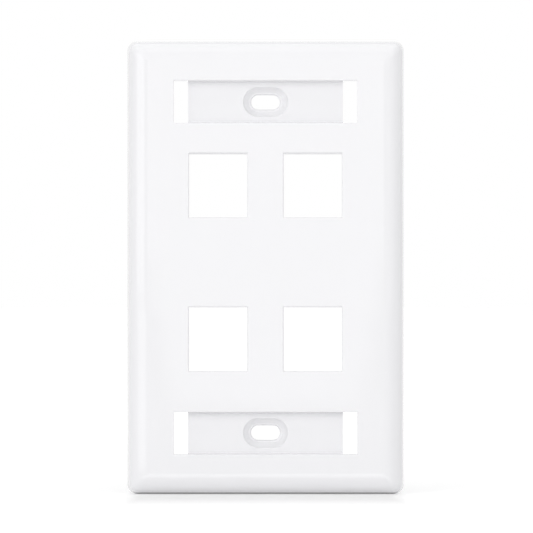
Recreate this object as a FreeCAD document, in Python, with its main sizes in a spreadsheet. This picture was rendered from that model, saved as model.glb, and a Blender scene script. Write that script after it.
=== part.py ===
"""One-gang keystone faceplate with four ports, moulded in one piece.

Millimetres. X runs across the plate, +Z is up, and the front looks along -Y. The origin is the centre
of the rim, in the plane of the wall that the plate is screwed against.
"""
import FreeCAD, Part

import math
import os

import Sketcher

SIZES = {
    # Outline and crown
    "plate_width": 69.85,          # one-gang plate, 2.75 in
    "plate_height": 114.3,         # one-gang plate, 4.5 in
    "plate_depth": 7.0,            # wall to front face
    "edge_draft": 0.45,            # how far the edge leans in from the rim to the crown
    "crown_run": 4.9,              # width of the rolled crown, seen from the front
    "crown_drop": 3.2,             # depth of the rolled crown, seen from the side
    "corner_round": 2.4,           # outline corners and the mitres that run on from them
    # Shell
    "side_wall": 2.2,
    "face_wall": 2.2,
    "cavity_round": 1.6,           # inner corners of the hollow back
    # Label windows, one above and one below the ports, centred on the box screws
    "screw_pitch": 83.34,          # 3.281 in
    "window_width": 46.1,
    "window_height": 10.7,
    "window_depth": 2.7,
    "window_draft": 0.3,           # how far the long walls lean in down to the floor
    "window_floor": 2.0,           # thickness of the floor
    "window_side": 1.5,            # walls above and below the window, behind the face
    "clip_slot_width": 3.55,       # slot at each end, for the legs of a label cover
    # Countersunk screw slots in the window floors
    "slot_length": 7.2,
    "slot_width": 3.6,
    "slot_land": 0.85,             # wall below the countersink
    "slot_flare": 0.25,            # how far that wall leans out towards the front
    "end_ledge": 0.45,             # flat at the ends of the slot, at the foot of the countersink
    "side_ledge": 0.3,             # flat along its sides
    "sink_cone_lean": 0.95,        # the gentle slope up from that flat
    "sink_cone_depth": 0.95,
    "sink_wall_lean": 0.45,        # the steep wall from there to the window's floor
    "sink_wall_depth": 1.0,
    "boss_wall": 1.8,              # plastic round the slot on the back
    # Keystone ports
    "port_width": 14.6,
    "port_height": 16.1,
    "port_across": 23.8,           # pitch of the columns
    "port_down": 38.7,             # pitch of the rows
    "port_rise": 1.3,              # middle of the rows above the plate's middle
    "housing_depth": 10.0,         # front face to the back of a port's housing
    "housing_side": 1.6,           # side walls of a port's housing
    "port_relief": 0.4,            # how far those walls stand back from the port's sides, behind the face
    "housing_cap": 1.5,            # top and bottom walls of a port's housing
    "bar_front": 8.0,              # front face to the bars that the jack snaps behind
    "lug_depth": 6.5,              # front face to the pocket for the jack's fixed lug
    "lug_height": 2.0,             # height of that pocket above the port
    "latch_depth": 4.0,            # front face to the pocket for the jack's spring latch
    "latch_height": 4.0,           # height of that pocket below the port
    "latch_entry": 3.0,            # how far the housing's back opens below the port
    "latch_lead": 0.8,             # slope on the latch bar that lets the latch ride in
    # Small edges
    "window_round": 0.2,           # windows, in the face
    "port_round": 0.4,             # ports, in the face
    "sink_round": 0.1,             # countersinks, in the window floors
    "slot_round": 0.1,             # screw slots, in the countersinks
}
PORT_COLUMNS = 2
PORT_ROWS = 2

# Distances out from the wall plane
FACE = "sizes.plate_depth"
FACE_BACK = "sizes.plate_depth - sizes.face_wall"
FLOOR = "sizes.plate_depth - sizes.window_depth"
SINK_SHOULDER = f"{FLOOR} - sizes.sink_wall_depth"
SINK_FOOT = f"{SINK_SHOULDER} - sizes.sink_cone_depth"

WINDOW_UP = "sizes.screw_pitch / 2"
FIRST_COLUMN = f"-sizes.port_across * {PORT_COLUMNS - 1} / 2"
LOWEST_ROW = f"sizes.port_rise - sizes.port_down * {PORT_ROWS - 1} / 2"
CROWN_RADIUS = "(sizes.crown_run ^ 2 + sizes.crown_drop ^ 2) / (2 * sizes.crown_drop)"

ORIGIN = (-1, 1)                   # a sketch's origin, as its constraints name it
TINY = 1e-4                        # rounding left in measured coordinates


def widened(outline, lean, lean_up=None):
    """An outline's length and width, with its edges moved out, at its ends and along its sides."""
    return f"{outline[0]} + 2 * {lean}", f"{outline[1]} + 2 * {lean_up or lean}"


# The screw slot and its countersink, from the back outwards, each as length and width
SLOT_BACK = "sizes.slot_length", "sizes.slot_width"
SLOT_FRONT = widened(SLOT_BACK, "sizes.slot_flare")
SINK_FLAT = widened(SLOT_FRONT, "sizes.end_ledge", "sizes.side_ledge")
SINK_MIDDLE = widened(SINK_FLAT, "sizes.sink_cone_lean")
SINK_EDGE = widened(SINK_MIDDLE, "sizes.sink_wall_lean")


def make_sheet(doc):
    """The spreadsheet that drives every size."""
    sheet = doc.addObject("Spreadsheet::Sheet", "sizes")
    for row, (alias, value) in enumerate(SIZES.items(), start=1):
        sheet.set(f"A{row}", alias)
        sheet.set(f"B{row}", str(value))
        sheet.setAlias(f"B{row}", alias)
    doc.recompute()
    return sheet


# Sketches

def origin_feature(body, role):
    """One of the body's own origin planes or axes."""
    return next(item for item in body.Origin.OriginFeatures if item.Role == role)


def make_sketch(body, name, plane, right="0", up="0", out="0"):
    """A sketch on an origin plane, moved along its own axes by formulas."""
    sketch = body.newObject("Sketcher::SketchObject", name)
    sketch.AttachmentSupport = (origin_feature(body, plane), [""])
    sketch.MapMode = "FlatFace"
    for axis, formula in (("x", right), ("y", up), ("z", out)):
        sketch.setExpression(f"AttachmentOffset.Base.{axis}", formula)
    return sketch


def front_sketch(body, name, up, out, right="0"):
    """A sketch seen from the front, at a distance out from the wall plane."""
    return make_sketch(body, name, "XZ_Plane", right, up, out)


def value_of(sketch, formula):
    return float(sketch.evalExpression(formula))


def add_dimension(sketch, kind, places, formula):
    """A dimension of the sketch, tied to a formula."""
    constraint = Sketcher.Constraint(kind, *places, value_of(sketch, formula))
    index = sketch.addConstraint(constraint)
    sketch.setExpression(f"Constraints[{index}]", formula)


def arc_to_the_right(start, end, radius):
    """An arc from start to end that bulges to the right of its travel."""
    chord = end - start
    sagitta = radius - math.sqrt(radius ** 2 - (chord.Length / 2) ** 2)
    outwards = FreeCAD.Vector(chord.y, -chord.x, 0).normalize()
    return Part.Arc(start, (start + end) / 2 + outwards * sagitta, end)


def draw_outline(sketch, points):
    """A closed outline. Each point is (right, up), or (right, up, radius) where an arc leaves it."""
    spots = [FreeCAD.Vector(*(value_of(sketch, formula) for formula in point[:2])) for point in points]
    edges = []
    for start, end, (_, _, *radius) in zip(spots, spots[1:] + spots[:1], points):
        if radius:
            curve = arc_to_the_right(start, end, value_of(sketch, *radius))
        else:
            curve = Part.LineSegment(start, end)
        edges.append(sketch.addGeometry(curve))
    for before, edge, (right, up, *radius) in zip(edges[-1:] + edges[:-1], edges, points):
        sketch.addConstraint(Sketcher.Constraint("Coincident", before, 2, edge, 1))
        add_dimension(sketch, "DistanceX", (*ORIGIN, edge, 1), right)
        add_dimension(sketch, "DistanceY", (*ORIGIN, edge, 1), up)
        if radius:
            add_dimension(sketch, "Radius", (edge,), *radius)


def draw_box(sketch, left, right, bottom, top):
    """An upright rectangle between four formulas."""
    draw_outline(sketch, [(left, bottom), (right, bottom), (right, top), (left, top)])


def draw_rectangle(sketch, width, height):
    """A rectangle centred on the sketch's origin."""
    draw_box(sketch, f"-({width}) / 2", f"({width}) / 2", f"-({height}) / 2", f"({height}) / 2")


def draw_obround(sketch, length, width):
    """An obround centred on the sketch's origin, its length across."""
    radius = value_of(sketch, width) / 2
    reach = FreeCAD.Vector(value_of(sketch, length) / 2 - radius, 0)
    rise = FreeCAD.Vector(0, radius)
    normal = FreeCAD.Vector(0, 0, 1)
    quarter = math.pi / 2
    right, top, left, bottom = (sketch.addGeometry(curve) for curve in (
        Part.ArcOfCircle(Part.Circle(reach, normal, radius), -quarter, quarter),
        Part.LineSegment(reach + rise, rise - reach),
        Part.ArcOfCircle(Part.Circle(-reach, normal, radius), quarter, 3 * quarter),
        Part.LineSegment(-reach - rise, reach - rise),
    ))
    for before, after in ((right, top), (top, left), (left, bottom), (bottom, right)):
        sketch.addConstraint(Sketcher.Constraint("Tangent", before, 2, after, 1))
    for end, sign in ((right, ""), (left, "-")):
        add_dimension(sketch, "DistanceX", (*ORIGIN, end, 3), f"{sign}(({length}) - ({width})) / 2")
        add_dimension(sketch, "DistanceY", (*ORIGIN, end, 3), "0")
    add_dimension(sketch, "Radius", (right,), f"({width}) / 2")
    sketch.addConstraint(Sketcher.Constraint("Equal", right, left))


# Features

def add_extrusion(body, kind, name, sketch, length, side="One side", reverse=False):
    """A pad along the sketch's normal, or a pocket against it. No length goes right through."""
    feature = body.newObject(f"PartDesign::{kind}", name)
    feature.Profile = sketch
    feature.SideType = side
    feature.Reversed = reverse
    if length:
        feature.setExpression("Length", length)
    else:
        feature.Type = "ThroughAll"
    return feature


def add_tapered_hole(body, name, outlines):
    """A hole with straight walls from each outline to the next."""
    hole = body.newObject("PartDesign::SubtractiveLoft", name)
    hole.Profile, *hole.Sections = outlines
    hole.Ruled = True
    return hole


def add_mirror(body, name, features):
    """The features again, below the plate's middle."""
    body.Document.recompute()
    mirror = body.newObject("PartDesign::Mirrored", name)
    mirror.Originals = features
    mirror.MirrorPlane = (origin_feature(body, "XY_Plane"), [""])
    body.Tip = mirror


def add_fillet(body, name, radius, wanted):
    """A fillet on each edge of the body that wanted() picks."""
    body.Document.recompute()
    base = body.Tip
    picked = [f"Edge{index}" for index, edge in enumerate(base.Shape.Edges, start=1) if wanted(edge)]
    fillet = body.newObject("PartDesign::Fillet", name)
    fillet.Base = (base, picked)
    fillet.setExpression("Radius", radius)


def ends_of(edge):
    """The edge's two ends."""
    return [edge.valueAt(spot) for spot in edge.ParameterRange]


def ends_out(edge):
    """How far out from the wall plane the edge's two ends are."""
    return [-end.y for end in ends_of(edge)]


def runs_out(edge):
    """Whether an edge runs from back to front."""
    start, end = ends_out(edge)
    return abs(end - start) > TINY


def touches(edge, out):
    """Whether an end of the edge is at that distance out."""
    return any(abs(end - out) < TINY for end in ends_out(edge))


def round_openings(body, name, radius, width, height, out, middles):
    """A round on the openings of one size that start at a distance out, one at each of the middles."""
    def value(formula):
        return float(body.evalExpression(formula))

    level, half_width, half_height = value(out), value(width) / 2, value(height) / 2
    spots = [(value(right), value(up)) for right, up in middles]

    def on_opening(end):
        return abs(end.y + level) < TINY and any(
            abs(end.x - right) < half_width + TINY and abs(end.z - up) < half_height + TINY
            for right, up in spots)

    add_fillet(body, name, radius, lambda edge: all(on_opening(end) for end in ends_of(edge)))


# The plate, in the order that it is built

def build_crown(body):
    """The block with its rolled edge, mitred at the corners."""
    rim, face = "0", f"-{FACE}"
    shoulder = f"{face} + sizes.crown_drop"
    half_width, half_height = "sizes.plate_width / 2", "sizes.plate_height / 2"
    across = make_sketch(body, "SectionAcross", "XY_Plane")
    side = f"{half_width} - sizes.edge_draft"
    flat = f"{side} - sizes.crown_run"
    draw_outline(across, [
        (f"-{half_width}", rim), (f"-({side})", shoulder, CROWN_RADIUS), (f"-({flat})", face),
        (flat, face, CROWN_RADIUS), (side, shoulder), (half_width, rim),
    ])
    add_extrusion(body, "Pad", "Block", across, "sizes.plate_height", side="Symmetric")
    down = make_sketch(body, "SectionDown", "YZ_Plane")
    top = f"{half_height} - sizes.edge_draft"
    draw_outline(down, [
        (face, half_height), (rim, half_height), (shoulder, top, CROWN_RADIUS),
        (face, f"{top} - sizes.crown_run"),
    ])
    roll = add_extrusion(body, "Pocket", "TopRoll", down, None, side="Symmetric")
    add_mirror(body, "BottomRoll", [roll])
    add_fillet(body, "Corners", "sizes.corner_round", runs_out)


def build_cavity(body):
    """The hollow back."""
    hollow = front_sketch(body, "Hollow", up="0", out="0")
    walls = "2 * sizes.side_wall"
    draw_rectangle(hollow, f"sizes.plate_width - {walls}", f"sizes.plate_height - {walls}")
    add_extrusion(body, "Pocket", "Cavity", hollow, FACE_BACK, reverse=True)
    depth = value_of(hollow, FACE_BACK)
    add_fillet(body, "CavityRounds", "sizes.cavity_round", lambda edge: touches(edge, depth))


def build_windows(body):
    """The label windows with their screw slots."""
    features = [*build_window_backs(body), *build_window_pockets(body), *build_screw_slot(body)]
    add_mirror(body, "LowerWindow", features)


def build_window_backs(body):
    """The tray behind a window, and the boss round its screw slot."""
    tray = front_sketch(body, "TrayOutline", WINDOW_UP, FACE_BACK)
    draw_rectangle(tray, "sizes.window_width", "sizes.window_height + 2 * sizes.window_side")
    tray_depth = f"{FACE_BACK} - ({FLOOR} - sizes.window_floor)"
    boss = front_sketch(body, "BossOutline", WINDOW_UP, FACE_BACK)
    draw_obround(boss, "sizes.slot_length + 2 * sizes.boss_wall", "sizes.slot_width + 2 * sizes.boss_wall")
    boss_depth = f"{FACE_BACK} - ({SINK_FOOT} - sizes.slot_land)"
    yield add_extrusion(body, "Pad", "Tray", tray, tray_depth, reverse=True)
    yield add_extrusion(body, "Pad", "Boss", boss, boss_depth, reverse=True)


def build_window_pockets(body):
    """The window, its long walls leaning in, and the clip slot at each end."""
    floor, face = f"-({FLOOR})", f"-{FACE}"
    top = "sizes.window_height / 2"
    foot = f"{top} - sizes.window_draft"
    section = make_sketch(body, "WindowSection", "YZ_Plane", up=WINDOW_UP)
    draw_outline(section, [(floor, f"-({foot})"), (floor, foot), (face, top), (face, f"-{top}")])
    clips = front_sketch(body, "ClipSlotOutlines", WINDOW_UP, FACE)
    end = "sizes.window_width / 2"
    inner = f"{end} - sizes.clip_slot_width"
    draw_box(clips, f"-{end}", f"-({inner})", f"-{top}", top)
    draw_box(clips, inner, end, f"-{top}", top)
    yield add_extrusion(body, "Pocket", "Window", section, "sizes.window_width", side="Symmetric")
    yield add_extrusion(body, "Pocket", "ClipSlots", clips, None)


def build_screw_slot(body):
    """The countersink, steep at its edge and gentler below, and the flared slot in its flat middle."""
    def obround(name, out, outline):
        sketch = front_sketch(body, name, WINDOW_UP, out)
        draw_obround(sketch, *outline)
        return sketch

    yield add_tapered_hole(body, "Countersink", [
        obround("SinkEdge", FLOOR, SINK_EDGE),
        obround("SinkShoulder", SINK_SHOULDER, SINK_MIDDLE),
        obround("SinkFoot", SINK_FOOT, SINK_FLAT),
    ])
    yield add_tapered_hole(body, "ScrewSlot", [
        obround("SlotFront", SINK_FOOT, SLOT_FRONT),
        obround("SlotBack", f"{SINK_FOOT} - sizes.slot_land", SLOT_BACK),
    ])


def build_ports(body):
    """The grid of keystone ports, each a passage through a housing on the back."""
    floor, roof = "-sizes.port_height / 2", "sizes.port_height / 2"
    latch_floor, lug_roof = f"{floor} - sizes.latch_height", f"{roof} + sizes.lug_height"
    side = "sizes.port_width / 2 + sizes.port_relief + sizes.housing_side"
    bottom, top = f"{latch_floor} - sizes.housing_cap", f"{lug_roof} + sizes.housing_cap"
    housing = front_sketch(body, "HousingOutline", LOWEST_ROW, FACE_BACK, right=FIRST_COLUMN)
    draw_box(housing, f"-({side})", side, bottom, top)
    opening = front_sketch(body, "PortOutline", LOWEST_ROW, FACE, right=FIRST_COLUMN)
    draw_rectangle(opening, "sizes.port_width", "sizes.port_height")
    passage = make_sketch(body, "PassageSection", "YZ_Plane", right=f"-{FACE}", up=LOWEST_ROW,
                          out=FIRST_COLUMN)
    front, bar, back = "sizes.face_wall", "sizes.bar_front", "sizes.housing_depth"
    entry = f"{floor} - sizes.latch_entry"
    draw_outline(passage, [
        (front, floor), ("sizes.latch_depth", floor), ("sizes.latch_depth", latch_floor),
        (bar, latch_floor), (bar, f"{entry} + sizes.latch_lead"), (back, entry), (back, roof),
        (bar, roof), (bar, lug_roof), ("sizes.lug_depth", lug_roof), ("sizes.lug_depth", roof),
        (front, roof),
    ])
    inside = "sizes.port_width + 2 * sizes.port_relief"
    add_grid(body, "PortGrid", [
        add_extrusion(body, "Pad", "Housing", housing, f"{back} - {front}", reverse=True),
        add_extrusion(body, "Pocket", "Port", opening, front),
        add_extrusion(body, "Pocket", "Passage", passage, inside, side="Symmetric"),
    ])


def add_grid(body, name, features):
    """The features again in every column and row of the ports."""
    body.Document.recompute()
    grid = body.newObject("PartDesign::LinearPattern", name)
    grid.Originals = features
    grid.Direction = (origin_feature(body, "X_Axis"), [""])
    grid.Occurrences = PORT_COLUMNS
    grid.setExpression("Length", f"sizes.port_across * {PORT_COLUMNS - 1}")
    grid.Direction2 = (origin_feature(body, "Z_Axis"), [""])
    grid.Occurrences2 = PORT_ROWS
    grid.setExpression("Length2", f"sizes.port_down * {PORT_ROWS - 1}")
    body.Tip = grid


def round_edges(body):
    """The small rounds on the openings, from the face inwards."""
    windows = [("0", WINDOW_UP), ("0", f"-{WINDOW_UP}")]
    ports = [(f"{FIRST_COLUMN} + sizes.port_across * {column}", f"{LOWEST_ROW} + sizes.port_down * {row}")
             for column in range(PORT_COLUMNS) for row in range(PORT_ROWS)]
    openings = (
        ("window", "sizes.window_width", "sizes.window_height", FACE, windows),
        ("port", "sizes.port_width", "sizes.port_height", FACE, ports),
        ("sink", *SINK_EDGE, FLOOR, windows),
        ("slot", *SLOT_FRONT, SINK_FOOT, windows),
    )
    for kind, *opening in openings:
        round_openings(body, f"{kind.capitalize()}Rounds", f"sizes.{kind}_round", *opening)


def build_faceplate(doc):
    """The whole plate, as one body."""
    body = doc.addObject("PartDesign::Body", "faceplate")
    body.Label = "faceplate"
    build_crown(body)
    build_cavity(body)
    build_windows(body)
    build_ports(body)
    round_edges(body)
    doc.recompute()
    return body


def check(doc, parts):
    """Stop where a feature failed or a part is not one sound solid."""
    failed = [item.Label for item in doc.Objects if {"Invalid", "Error"} & set(item.State)]
    if failed:
        raise RuntimeError(f"failed features: {failed}")
    for part in parts:
        shape = part.Shape
        if shape.isNull() or not shape.isValid() or len(shape.Solids) != 1:
            raise RuntimeError(f"{part.Label} is not one sound solid")


def write_parts(parts):
    os.makedirs("parts", exist_ok=True)
    for part in parts:
        part.Shape.exportStep(os.path.join("parts", f"{part.Label}.step"))


doc = FreeCAD.newDocument("keystone_faceplate")
make_sheet(doc)
parts = [build_faceplate(doc)]
check(doc, parts)
write_parts(parts)
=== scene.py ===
"""A keystone faceplate in polished white plastic, standing on a white studio floor."""
import math

import bpy
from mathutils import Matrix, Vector


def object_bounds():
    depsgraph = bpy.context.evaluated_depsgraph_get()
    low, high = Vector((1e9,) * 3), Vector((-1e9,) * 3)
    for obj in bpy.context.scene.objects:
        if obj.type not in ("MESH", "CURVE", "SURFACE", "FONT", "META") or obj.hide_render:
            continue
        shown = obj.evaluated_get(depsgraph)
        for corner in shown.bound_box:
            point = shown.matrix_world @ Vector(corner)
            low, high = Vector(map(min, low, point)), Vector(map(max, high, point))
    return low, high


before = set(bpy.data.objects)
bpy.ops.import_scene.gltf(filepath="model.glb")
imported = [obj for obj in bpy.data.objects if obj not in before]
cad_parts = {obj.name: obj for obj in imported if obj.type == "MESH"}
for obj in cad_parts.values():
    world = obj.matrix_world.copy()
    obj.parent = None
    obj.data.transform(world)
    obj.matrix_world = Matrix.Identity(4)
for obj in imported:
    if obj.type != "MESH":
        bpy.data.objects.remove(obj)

MM = 0.001
PLATE = "faceplate"

# The camera, straight in front: how far is read from how much of the ports' walls the photograph shows
CAMERA_AWAY = 1.1
CAMERA_RIGHT = 0.25 * MM
CAMERA_UP = 0.25 * MM
LENS = 293.9
SENSOR = 36.0
CLIP_NEAR = 0.05
CLIP_FAR = 50.0

WHITE = (1.0, 1.0, 1.0, 1.0)

# The plastic
PLASTIC = (0.868, 0.866, 0.884, 1.0)
PLASTIC_WARM = (0.861, 0.859, 0.874, 1.0)
PLASTIC_IOR = 1.5
DRIFT_LUMP = 28 * MM               # how wide the drift between the two tones is
POLISH = (0.045, 0.06)             # roughness in front, from clean to smeared
SMEAR_LUMP = 9 * MM
SMEAR_SHOWS = (0.45, 0.75)         # the part of that noise which makes a smear
SATIN = (0.28, 0.42)               # roughness of the back
SATIN_LUMP = 2.5 * MM
WINDOW_ROUGH = 0.48
WAVE_LUMP = 6 * MM                 # the slow waviness of the mould's polished steel
WAVE_DEEP = 0.0015 * MM
GRAIN_LUMP = 0.14 * MM             # the texture of the window floors, fainter on the back
GRAIN_DEEP = 0.02 * MM
GRAIN_ON_BACK = 0.4

# The plate's depths out from the wall, and its side walls, which tell the materials apart
WINDOW_FLOOR_OUT = 4.3 * MM
WINDOW_FLOOR_PLAY = 0.05 * MM
BACK_OF_FACE_OUT = 4.8 * MM
BACK_FADE = 0.3 * MM
SIDE_WALL = 2.2 * MM
SIDE_WALL_PLAY = 0.1 * MM
LOOKS_FORWARD = -0.9               # what a surface's normal has along the depth
LOOKS_BACKWARD = 0.5

# The floor. Its glow lifts it to white for the camera and in reflections, except just in front of the
# plate, where the glow is held back: painted shade there, on top of the floor's real shadow.
FLOOR_HALF = 5.0
FLOOR_COLOR = (0.93, 0.93, 0.93, 1.0)
GLOW_IN_PAINTED_SHADE = 0.0                   # painted shade: the glow held back on the floor just in front of the plate, where its real shadow falls
GLOW_NEAR = 0.24
GLOW_FAR = 0.28
GLOW_FADE = (0.05, 0.5)            # how far from the plate it goes from near to far
PAINTED_SHADE_SIDE = (30 * MM, 37 * MM)    # where the painted shade ends beside the middle
PAINTED_SHADE_FRONT = (16 * MM, 72 * MM)   # out from the wall
PAINTED_SHADE_BACK = (-9 * MM, -3 * MM)    # and toward the wall

# The light of the room, and the white that the camera and the reflections see instead
SKY_SOFT = 0.575
SKY_SEEN = 1.0

# Wide soft lamps: name, degrees round from the front, degrees up, level, degrees wide
SOFT_LAMPS = (
    ("left", -45, 5, 0.228, 46),
    ("right", 45, 5, 0.075, 46),
    ("top", 0, 86, 0.186, 60),
)

# Softboxes in front: name, distance, (low, high), width, level.
# The window ones make up one tall light, narrower lower down, that the polished face mirrors.
WINDOW_AWAY = 0.607
WINDOW_LEVEL = 0.9
SOFTBOXES = (
    ("front", 1.12, (0.25, 1.2), 2.4, 0.56),
    ("window_1", WINDOW_AWAY, (-53 * MM, -38 * MM), 75 * MM, WINDOW_LEVEL),
    ("window_2", WINDOW_AWAY, (-38 * MM, -19 * MM), 81 * MM, WINDOW_LEVEL),
    ("window_3", WINDOW_AWAY, (-19 * MM, 2 * MM), 88 * MM, WINDOW_LEVEL),
    ("window_4", WINDOW_AWAY, (2 * MM, 190 * MM), 300 * MM, WINDOW_LEVEL),
)

cad_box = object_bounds()

# Cards that only the shine along the crown shows, low in front and low on the left:
# name, place, the way it faces, (width, height), level, degrees within which it shines
MIRRORED_CARDS = (
    ("low_front", (0, -15 * MM, cad_box[0].z + 2.2 * MM), (0, 1, 0), (200 * MM, 4 * MM), 0.43, 90),
    ("low_left", (-110 * MM, -110 * MM, -34.5 * MM), (1, 1, 0), (110 * MM, 45 * MM), 1.1, 180),
)


# Node helpers

def node_tree(name):
    """A new material that holds only its output, with its nodes and links."""
    material = bpy.data.materials.new(name)
    material.use_nodes = True
    material.node_tree.nodes.clear()
    output = material.node_tree.nodes.new("ShaderNodeOutputMaterial")
    return material, material.node_tree.nodes, material.node_tree.links, output


def feed(links, socket, value):
    """Links an output to a socket, or sets a plain value on it."""
    if isinstance(value, bpy.types.NodeSocket):
        links.new(value, socket)
    else:
        socket.default_value = value


def math_node(nodes, links, operation, *values):
    """One step of arithmetic on outputs or plain values."""
    node = nodes.new("ShaderNodeMath")
    node.operation = operation
    for socket, value in zip(node.inputs, values):
        feed(links, socket, value)
    return node.outputs[0]


def soft_step(nodes, links, value, low, high):
    """From 0 to 1 as the value goes from low to high."""
    ramp = nodes.new("ShaderNodeMapRange")
    ramp.interpolation_type = "SMOOTHSTEP"
    feed(links, ramp.inputs["Value"], value)
    ramp.inputs["From Min"].default_value = low
    ramp.inputs["From Max"].default_value = high
    return ramp.outputs["Result"]


def noise(nodes, links, vector, size, detail=2.0):
    """Noise with lumps of about that size, in metres."""
    node = nodes.new("ShaderNodeTexNoise")
    links.new(vector, node.inputs["Vector"])
    node.inputs["Scale"].default_value = 1.0 / size
    node.inputs["Detail"].default_value = detail
    return node.outputs["Fac"]


def blend(nodes, links, factor, low, high):
    """A number between low and high."""
    ramp = nodes.new("ShaderNodeMapRange")
    feed(links, ramp.inputs["Value"], factor)
    feed(links, ramp.inputs["To Min"], low)
    feed(links, ramp.inputs["To Max"], high)
    return ramp.outputs["Result"]


def seen_ray(nodes, links):
    """1 for the rays that show a surface: straight, in a reflection or through glass."""
    path = nodes.new("ShaderNodeLightPath")
    mirror = math_node(nodes, links, "MAXIMUM", path.outputs["Is Glossy Ray"],
                       path.outputs["Is Transmission Ray"])
    return math_node(nodes, links, "MAXIMUM", path.outputs["Is Camera Ray"], mirror)


# Materials

def within(nodes, links, value, limit):
    """1 where a value is less than the limit on either side of nothing."""
    return math_node(nodes, links, "LESS_THAN", math_node(nodes, links, "ABSOLUTE", value), limit)


def window_floor_mask(nodes, links, depth, backward):
    """1 on the window floors: at their depth, and looking forward."""
    from_floor = math_node(nodes, links, "ADD", depth, WINDOW_FLOOR_OUT)
    at_floor = within(nodes, links, from_floor, WINDOW_FLOOR_PLAY)
    forward = math_node(nodes, links, "LESS_THAN", backward, LOOKS_FORWARD)
    return math_node(nodes, links, "MULTIPLY", at_floor, forward)


def back_mask(nodes, links, place, backward, window):
    """1 on the back: inside the side walls and behind the face, or looking backward."""
    x, depth, z = place
    high = cad_box[1]
    inside_x = within(nodes, links, x, high.x - SIDE_WALL + SIDE_WALL_PLAY)
    inside_z = within(nodes, links, z, high.z - SIDE_WALL + SIDE_WALL_PLAY)
    behind = soft_step(nodes, links, depth, -BACK_OF_FACE_OUT, -BACK_OF_FACE_OUT + BACK_FADE)
    inside = math_node(nodes, links, "MULTIPLY", inside_x, inside_z)
    inside = math_node(nodes, links, "MULTIPLY", inside, behind)
    inside = math_node(nodes, links, "SUBTRACT", inside, window)
    looking_back = math_node(nodes, links, "GREATER_THAN", backward, LOOKS_BACKWARD)
    return math_node(nodes, links, "MAXIMUM", inside, looking_back)


def plastic_tone(nodes, links, place):
    """A faint drift of tone through the moulding."""
    tone = nodes.new("ShaderNodeMix")
    tone.data_type = "RGBA"
    links.new(noise(nodes, links, place, DRIFT_LUMP), tone.inputs["Factor"])
    tone.inputs["A"].default_value = PLASTIC
    tone.inputs["B"].default_value = PLASTIC_WARM
    return tone.outputs["Result"]


def plastic_roughness(nodes, links, place, window, back):
    """Nearly a mirror in front, with faint handling marks, then texture and satin."""
    smear = soft_step(nodes, links, noise(nodes, links, place, SMEAR_LUMP, detail=5.0), *SMEAR_SHOWS)
    polish = blend(nodes, links, smear, *POLISH)
    satin = blend(nodes, links, noise(nodes, links, place, SATIN_LUMP, detail=4.0), *SATIN)
    plain = blend(nodes, links, back, polish, satin)
    return blend(nodes, links, window, plain, WINDOW_ROUGH)


def bump(nodes, links, height, deep):
    """Relief that far from its lowest to its highest, in metres."""
    node = nodes.new("ShaderNodeBump")
    node.inputs["Distance"].default_value = deep
    links.new(height, node.inputs["Height"])
    return node


def plastic_relief(nodes, links, place, window, back):
    """Slow waviness all over, spark-eroded grain in the windows and a little of it behind."""
    wave = bump(nodes, links, noise(nodes, links, place, WAVE_LUMP, detail=1.0), WAVE_DEEP)
    wave.inputs["Strength"].default_value = 1.0
    grain = bump(nodes, links, noise(nodes, links, place, GRAIN_LUMP), GRAIN_DEEP)
    on_back = math_node(nodes, links, "MULTIPLY", back, GRAIN_ON_BACK)
    links.new(math_node(nodes, links, "ADD", window, on_back), grain.inputs["Strength"])
    links.new(wave.outputs["Normal"], grain.inputs["Normal"])
    return grain.outputs["Normal"]


def plastic_material():
    """Moulded ABS: a polished front, a fine matte texture in the windows and a satin back."""
    material, nodes, links, output = node_tree("moulded_abs")
    place = nodes.new("ShaderNodeTexCoord").outputs["Object"]
    split = nodes.new("ShaderNodeSeparateXYZ")
    links.new(place, split.inputs[0])
    facing = nodes.new("ShaderNodeSeparateXYZ")
    links.new(nodes.new("ShaderNodeNewGeometry").outputs["True Normal"], facing.inputs[0])
    backward = facing.outputs["Y"]
    window = window_floor_mask(nodes, links, split.outputs["Y"], backward)
    back = back_mask(nodes, links, split.outputs, backward, window)

    shader = nodes.new("ShaderNodeBsdfPrincipled")
    shader.inputs["IOR"].default_value = PLASTIC_IOR
    links.new(plastic_tone(nodes, links, place), shader.inputs["Base Color"])
    links.new(plastic_roughness(nodes, links, place, window, back), shader.inputs["Roughness"])
    links.new(plastic_relief(nodes, links, place, window, back), shader.inputs["Normal"])
    links.new(shader.outputs["BSDF"], output.inputs["Surface"])
    return material


def out_of_painted_shade(nodes, links, place):
    """Painted shade on the floor: 0 just in front of the plate, where the glow is held back over its
    real shadow, 1 where that painted shade has ended.
    """
    split = nodes.new("ShaderNodeSeparateXYZ")
    links.new(place, split.inputs[0])
    side = math_node(nodes, links, "ABSOLUTE", split.outputs["X"])
    front = math_node(nodes, links, "MULTIPLY", split.outputs["Y"], -1.0)
    beside = soft_step(nodes, links, side, *PAINTED_SHADE_SIDE)
    ahead = soft_step(nodes, links, front, *PAINTED_SHADE_FRONT)
    behind = soft_step(nodes, links, split.outputs["Y"], *PAINTED_SHADE_BACK)
    outside = math_node(nodes, links, "MAXIMUM", beside, ahead)
    return math_node(nodes, links, "MAXIMUM", outside, behind)


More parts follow.
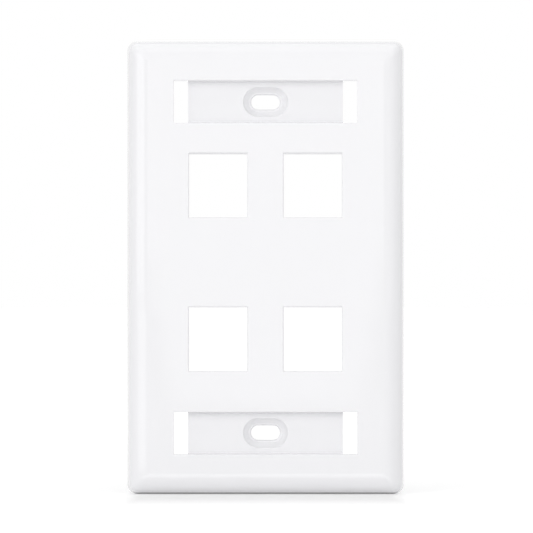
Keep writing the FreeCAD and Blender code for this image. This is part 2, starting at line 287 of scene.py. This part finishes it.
def floor_material():
    """Matt white card, lifted to white where the camera or a reflection sees it, with the lift held
    back just in front of the plate as painted shade.
    """
    material, nodes, links, output = node_tree("white_floor")
    card = nodes.new("ShaderNodeBsdfDiffuse")
    card.inputs["Color"].default_value = FLOOR_COLOR
    glow = nodes.new("ShaderNodeEmission")
    glow.inputs["Color"].default_value = WHITE
    place = nodes.new("ShaderNodeTexCoord").outputs["Object"]
    away = nodes.new("ShaderNodeVectorMath")
    away.operation = "LENGTH"
    links.new(place, away.inputs[0])
    far = soft_step(nodes, links, away.outputs["Value"], *GLOW_FADE)
    # painted shade: the lift is smaller in a box just in front of the plate
    near = blend(nodes, links, out_of_painted_shade(nodes, links, place), GLOW_IN_PAINTED_SHADE, GLOW_NEAR)
    lift = blend(nodes, links, far, near, GLOW_FAR)
    seen_lift = math_node(nodes, links, "MULTIPLY", seen_ray(nodes, links), lift)
    links.new(seen_lift, glow.inputs["Strength"])
    both = nodes.new("ShaderNodeAddShader")
    links.new(card.outputs[0], both.inputs[0])
    links.new(glow.outputs[0], both.inputs[1])
    links.new(both.outputs[0], output.inputs["Surface"])
    return material


# The studio

def make_floor():
    """The wide white floor under the plate's lowest edge."""
    mesh = bpy.data.meshes.new("floor")
    z = cad_box[0].z
    corners = [(-FLOOR_HALF, -FLOOR_HALF, z), (FLOOR_HALF, -FLOOR_HALF, z),
               (FLOOR_HALF, FLOOR_HALF, z), (-FLOOR_HALF, FLOOR_HALF, z)]
    mesh.from_pydata(corners, [], [(0, 1, 2, 3)])
    mesh.materials.append(floor_material())
    floor = bpy.data.objects.new("floor", mesh)
    bpy.context.scene.collection.objects.link(floor)


def background(nodes, strength):
    """An even white sky."""
    node = nodes.new("ShaderNodeBackground")
    node.inputs["Color"].default_value = WHITE
    node.inputs["Strength"].default_value = strength
    return node


def make_world():
    """Even light from all round, seen as white."""
    world = bpy.data.worlds.new("studio")
    bpy.context.scene.world = world
    world.use_nodes = True
    nodes, links = world.node_tree.nodes, world.node_tree.links
    nodes.clear()
    output = nodes.new("ShaderNodeOutputWorld")
    mix = nodes.new("ShaderNodeMixShader")
    links.new(seen_ray(nodes, links), mix.inputs["Fac"])
    links.new(background(nodes, SKY_SOFT).outputs[0], mix.inputs[1])
    links.new(background(nodes, SKY_SEEN).outputs[0], mix.inputs[2])
    links.new(mix.outputs[0], output.inputs["Surface"])


def link_lamp(name, lamp, place, back):
    """Puts a lamp at a place, with its back that way."""
    holder = bpy.data.objects.new(name, lamp)
    bpy.context.scene.collection.objects.link(holder)
    holder.location = place
    holder.rotation_euler = Vector(back).to_track_quat("Z", "Y").to_euler()
    return holder


def add_soft_lamp(name, azimuth, elevation, level, spread):
    """A lamp that far round from the front and up, in degrees, as wide in the sky as spread,
    which lights a white surface facing it to that level."""
    lamp = bpy.data.lights.new(name, "SUN")
    lamp.angle = math.radians(spread)
    lamp.energy = level * math.pi
    around, up = math.radians(azimuth), math.radians(elevation)
    outward = (math.sin(around) * math.cos(up), -math.cos(around) * math.cos(up), math.sin(up))
    link_lamp(name, lamp, (0, 0, 0), outward)


def add_card(name, place, toward, size, level):
    """A bright rectangle facing that way, (width, height) in size, hidden from the camera."""
    lamp = bpy.data.lights.new(name, "AREA")
    lamp.shape = "RECTANGLE"
    lamp.size, lamp.size_y = size
    lamp.energy = level * math.pi * lamp.size * lamp.size_y
    holder = link_lamp(name, lamp, place, [-along for along in toward])
    holder.visible_camera = False
    return holder


def add_softbox(name, away, heights, width, level):
    """A card in front of the plate, between two heights."""
    low, high = heights
    add_card(name, (0, -away, (low + high) / 2), (0, 1, 0), (width, high - low), level)


def add_mirrored_card(name, place, toward, size, level, spread):
    """A card that shows only in the plastic's shine, and shines only within that many degrees."""
    holder = add_card(name, place, toward, size, level)
    holder.visible_diffuse = False
    holder.data.spread = math.radians(spread)


def make_camera():
    """The photograph's view, straight at the face."""
    data = bpy.data.cameras.new("camera")
    data.lens = LENS
    data.sensor_width = SENSOR
    data.clip_start = CLIP_NEAR
    data.clip_end = CLIP_FAR
    camera = bpy.data.objects.new("camera", data)
    bpy.context.scene.collection.objects.link(camera)
    camera.location = (CAMERA_RIGHT, -CAMERA_AWAY, CAMERA_UP)
    camera.rotation_euler = (math.radians(90), 0, 0)
    bpy.context.scene.camera = camera


def make_lights():
    """Soft light from all sides, with what the polished face mirrors."""
    for lamp in SOFT_LAMPS:
        add_soft_lamp(*lamp)
    for softbox in SOFTBOXES:
        add_softbox(*softbox)
    for card in MIRRORED_CARDS:
        add_mirrored_card(*card)


def dress_plate():
    """Gives the CAD plate its plastic."""
    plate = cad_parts[PLATE]
    plate.data.materials.clear()
    plate.data.materials.append(plastic_material())


bpy.context.scene.view_settings.view_transform = "Standard"
make_camera()
make_world()
make_floor()
make_lights()
dress_plate()
